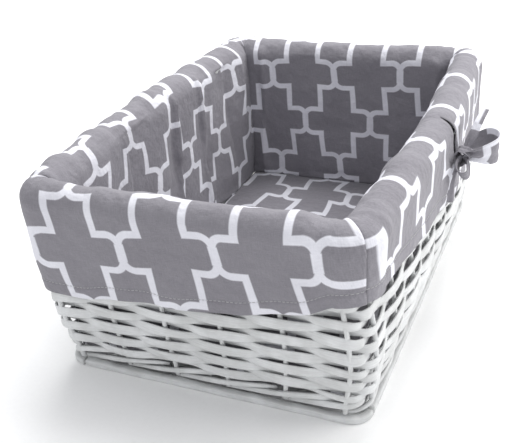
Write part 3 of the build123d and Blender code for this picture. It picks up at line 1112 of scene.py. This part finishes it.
def liner_floor():
    """Floor panel, a little puffed up between its seams."""
    low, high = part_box("liner_floor")
    xs = np.linspace(low.x, high.x, 100)
    ys = np.linspace(low.y, high.y, 160)
    points = np.empty((len(ys), len(xs), 3))
    for r, y in enumerate(ys):
        for c, x in enumerate(xs):
            edge = min(high.x - abs(x), high.y - abs(y))
            puff = 3.0 * MM * float(smooth(edge, 0, 45 * MM))
            wave = 2.0 * MM * noise.noise(Vector((x * 14, y * 11, 0.5)))
            wave += 0.5 * MM * noise.noise(Vector((x * 45, y * 45, 4.5)))
            points[r, c] = (x, y, low.z + CLOTH + puff + wave * float(smooth(edge, 0, 20 * MM)))
    uvs = points[:, :, :2] - np.array([20 * MM, 10 * MM])
    uvs = uvs + 3 * MM * np.sin(uvs[:, :, ::-1] / (17 * MM) + points[:, :, :1] / (30 * MM))
    return grid_piece("liner_floor_cloth", points[::-1], uvs[::-1], {}, ["liner_floor"])


floor_piece = liner_floor()

# ---------------------------------------------------------------- bows


def spline(points, count):
    """Smooth curve through points, as evenly spaced samples."""
    points = np.asarray(points, float)
    padded = np.vstack([2 * points[0] - points[1], points, 2 * points[-1] - points[-2]])
    dense = []
    for i in range(1, len(padded) - 2):
        a, b, c, d = padded[i - 1: i + 3]
        for t in np.linspace(0, 1, 24, endpoint=False):
            dense.append(
                0.5 * (2 * b + (c - a) * t + (2 * a - 5 * b + 4 * c - d) * t * t
                       + (3 * b - a - 3 * c + d) * t**3)
            )
    dense.append(points[-1])
    dense = np.array(dense)
    return along_line(dense, np.linspace(0, lengths(dense)[-1], count))


def ribbon(node, centre, across, widths, ripple, uv_start, fold):
    """Piece of ribbon along a centre line, and its length; across is the way its width runs."""
    count = len(centre)
    columns = 15
    share = np.linspace(-1, 1, columns)
    heading = np.gradient(centre, axis=0)
    heading /= np.linalg.norm(heading, axis=1)[:, None]
    across = across - heading * np.sum(across * heading, axis=1)[:, None]
    across /= np.linalg.norm(across, axis=1)[:, None]
    face = np.cross(heading, across)
    at = lengths(centre)
    points = np.empty((count, columns, 3))
    uvs = np.empty((count, columns, 2))
    for i in range(count):
        wave = ripple[i] * np.sin(share * 7.5 + 0.6) + fold * abs(widths[i]) * np.abs(share)
        points[i] = (
            centre[i] + np.outer(share * widths[i] / 2, across[i]) + np.outer(wave, face[i])
        )
        uvs[i, :, 0] = uv_start[0] + share * widths.max() / 2
        uvs[i, :, 1] = uv_start[1] + at[i]
    return grid_piece(f"{node}_cloth", points, uvs, {}, [node]), at[-1]


def half_turn(points):
    """The same places on the opposite long wall."""
    return np.asarray(points, float) * np.array([-1, -1, 1])


def bow_loop_shape(heading, length, height, lift):
    """Centre line of a loop that leaves the knot along heading and comes back beside itself."""
    heading = np.array(heading, float) / np.linalg.norm(heading)
    sideways = np.cross(heading, [0, 0, 1])
    sideways /= np.linalg.norm(sideways)
    up = np.cross(sideways, heading)
    outline = ((0.05, 0.10), (0.25, 0.38), (0.55, 0.55), (0.85, 0.45), (1.0, 0.05),
               (0.92, -0.38), (0.62, -0.50), (0.28, -0.36), (0.05, -0.12))
    points = [heading * length * a + sideways * height * b + up * lift * a for a, b in outline]
    return spline(points, 64), sideways, up


# how far each knot sits above the middle of its CAD sphere, and how much its upper tail perks up
BOW_RISE = {"right": 10 * MM, "left": -4 * MM}
BOW_PERK = {"right": 1.0, "left": 0.45}
BOW_OUT = 2 * MM
KNOT_RADIUS = 5.6 * MM
KNOT_WIDTH = 12.5 * MM


def bow(side):
    """Knot, two loops and two tails of one bow."""
    place = np.array(KNOT) + (float(bowed(0, KNOT.z)) + BOW_OUT, 0, BOW_RISE[side])
    turn = half_turn if side == "left" else np.asarray
    perk = BOW_PERK[side]
    made = []

    def add(part, centre, across, width, widths, ripple, uv_start, fold=0.0):
        """Makes a part on its own wall and notes its flat size."""
        piece, run = ribbon(f"bow_{side}_{part}", turn(place + centre), turn(across), widths,
                            ripple, uv_start, fold)
        made.append((piece, (width, run)))

    def loop(part, heading, length, height, width, uv_start):
        """Loop that is gathered where it leaves the knot and where it comes back."""
        centre, sideways, up = bow_loop_shape(heading, length, height, 2 * MM)
        share = np.linspace(0, 1, len(centre))
        pinch = 1 - 0.62 * (bell(share, 0, 0.2) + bell(share, 1, 0.2))
        across = np.tile(up + 0.25 * sideways, (len(centre), 1))
        ripple = 1.1 * MM * (bell(share, 0, 0.18) + bell(share, 1, 0.18)) + 0.25 * MM
        add(part, centre, across, width, width * pinch, ripple, uv_start)

    def tail(part, points, across, width, uv_start, fold):
        """Tail through points in mm; across is the way its width runs at the knot and the end."""
        centre = spline(np.array(points) * MM, 40)
        share = np.linspace(0, 1, len(centre))
        widths = width * (0.55 + 0.45 * smooth(share, 0, 0.4))
        turns = np.outer(1 - share, across[0]) + np.outer(share, across[1])
        ripple = 0.9 * MM * bell(share, 0, 0.3) + 0.2 * MM
        add(part, centre, turns, width, widths, ripple, uv_start, fold)

    loop("loop_back", (0.80, 0.58, 0.12), 29 * MM, 21 * MM, 25 * MM, (0.008, -0.002))
    loop("loop_front", (0.16, -0.70, -0.70), 18 * MM, 8 * MM, 14 * MM, (0.031, 0.004))
    tail("tail_up", ((0, 2, 3 * perk), (2, 9, 12 * perk), (5, 19, 22 * perk), (8, 30, 29 * perk)),
         ((0.9, -0.2, 0.3), (0.7, -0.5, 0.5)), 10 * MM, (0.018, 0.050), 0.35)
    tail("tail_down", ((-3, 0, -3), (-4, -4, -12), (-5, -8, -23), (-5, -11, -37)),
         ((0.2, 0.95, 0), (0.5, 0.8, -0.3)), 12 * MM, (0.060, 0.020), -0.3)

    angles = np.linspace(0, 2 * math.pi, 49)
    radius = KNOT_RADIUS * (1 + 0.10 * np.sin(3 * angles + 1) + 0.05 * np.sin(7 * angles))
    centre = np.stack([radius * np.cos(angles), 0.0 * angles, radius * np.sin(angles)], axis=1)
    across = np.tile([0.15, 1.0, 0.1], (len(angles), 1))
    even = np.ones(len(angles))
    add("knot", centre, across, KNOT_WIDTH, KNOT_WIDTH * even, 0.7 * MM * even, (0.010, 0.030))
    return made


bow_pieces = {side_name: bow(side_name) for side_name in LONG_WALLS}

# ---------------------------------------------------------------- stage, light and camera

bpy.ops.mesh.primitive_plane_add(size=12, location=(0, 0, 0))
ground = bpy.context.object
ground.name = "stage_floor"
ground.data.materials.append(pale_floor())

scene = bpy.context.scene
scene.view_settings.view_transform = "Standard"
world = bpy.data.worlds.new("studio")
scene.world = world
world.use_nodes = True
tree = world.node_tree
ambient = tree.nodes["Background"]
ambient.inputs[0].default_value = (0.97, 0.98, 1.0, 1)
ambient.inputs[1].default_value = 0.76
backdrop = tree.nodes.new("ShaderNodeBackground")
backdrop.inputs[0].default_value = (1, 1, 1, 1)
backdrop.inputs[1].default_value = 1.0
seen = tree.nodes.new("ShaderNodeLightPath")
choose = tree.nodes.new("ShaderNodeMixShader")
tree.links.new(seen.outputs["Is Camera Ray"], choose.inputs[0])
tree.links.new(ambient.outputs[0], choose.inputs[1])
tree.links.new(backdrop.outputs[0], choose.inputs[2])
tree.links.new(choose.outputs[0], tree.nodes["World Output"].inputs[0])


def soft_light(name, place, size, energy, colour):
    """Square area light that faces the basket."""
    data = bpy.data.lights.new(name, "AREA")
    data.size = size
    data.energy = energy
    data.color = colour
    light = bpy.data.objects.new(name, data)
    scene.collection.objects.link(light)
    light.location = place
    light.rotation_euler = (Vector((0, 0, 0.08)) - Vector(place)).to_track_quat("-Z", "Y").to_euler()


soft_light("key_light", (1.35, 0.55, 1.15), 1.3, 18, (1.0, 0.99, 0.97))
soft_light("top_light", (-0.2, 0.9, 1.7), 1.4, 30, (1.0, 1.0, 1.0))

CAMERA_PLACE = Vector((0.2528, -0.5993, 0.3949))
CAMERA_YAW = math.radians(-24.94)
CAMERA_DOWN = math.radians(27.74)
CAMERA_ROLL = math.radians(-4.52)
view_ahead = Vector((math.sin(CAMERA_YAW) * math.cos(CAMERA_DOWN),
                     math.cos(CAMERA_YAW) * math.cos(CAMERA_DOWN), -math.sin(CAMERA_DOWN)))
level_right = Vector((math.cos(CAMERA_YAW), -math.sin(CAMERA_YAW), 0))
level_up = level_right.cross(view_ahead)
view_right = math.cos(CAMERA_ROLL) * level_right + math.sin(CAMERA_ROLL) * level_up
view_up = -math.sin(CAMERA_ROLL) * level_right + math.cos(CAMERA_ROLL) * level_up
camera_data = bpy.data.cameras.new("camera")
camera_data.sensor_width = 36
camera_data.lens = 55.7
camera = bpy.data.objects.new("camera", camera_data)
scene.collection.objects.link(camera)
camera.matrix_world = Matrix.Translation(CAMERA_PLACE) @ Matrix(
    (view_right, view_up, -view_ahead)
).transposed().to_4x4()
scene.camera = camera
